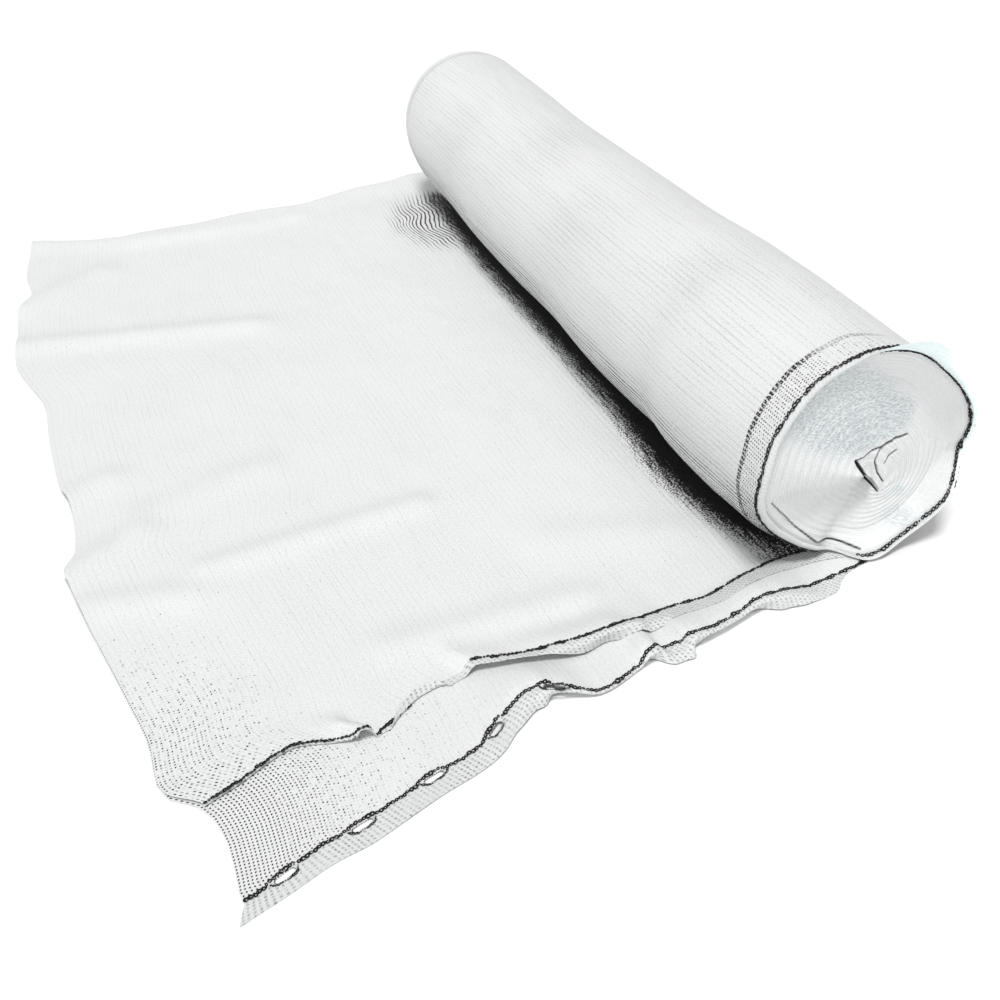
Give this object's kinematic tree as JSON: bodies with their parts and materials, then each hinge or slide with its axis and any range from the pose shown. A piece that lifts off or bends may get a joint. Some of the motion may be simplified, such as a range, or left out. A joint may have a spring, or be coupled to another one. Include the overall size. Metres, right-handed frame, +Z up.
{
  "type": "roll of scaffold netting",
  "caption": "Knitted debris netting folded double and rolled on itself, its loose end unrolled flat on the ground, with black edge chains and buttonhole eyelets.",
  "frame": {"origin": "on the ground under the roll's axis, half-way along the roll, on the underside of the net", "axes": "+Y along the roll's axis, towards the end where the net is folded; -X towards the loose end of the net; +Z up"},
  "size_m": [1.1086, 1.8871, 0.2892],
  "materials": {
    "net": "matte",
    "chain": "matte"
  },
  "bodies": {
    "root": {"wound_roll": "net", "loose_net": "net", "eyelet_selvedge": "net", "outer_edge_chain": "chain", "inner_edge_chain": "chain", "rim_edge_chain": "chain"}
  },
  "joints": []
}
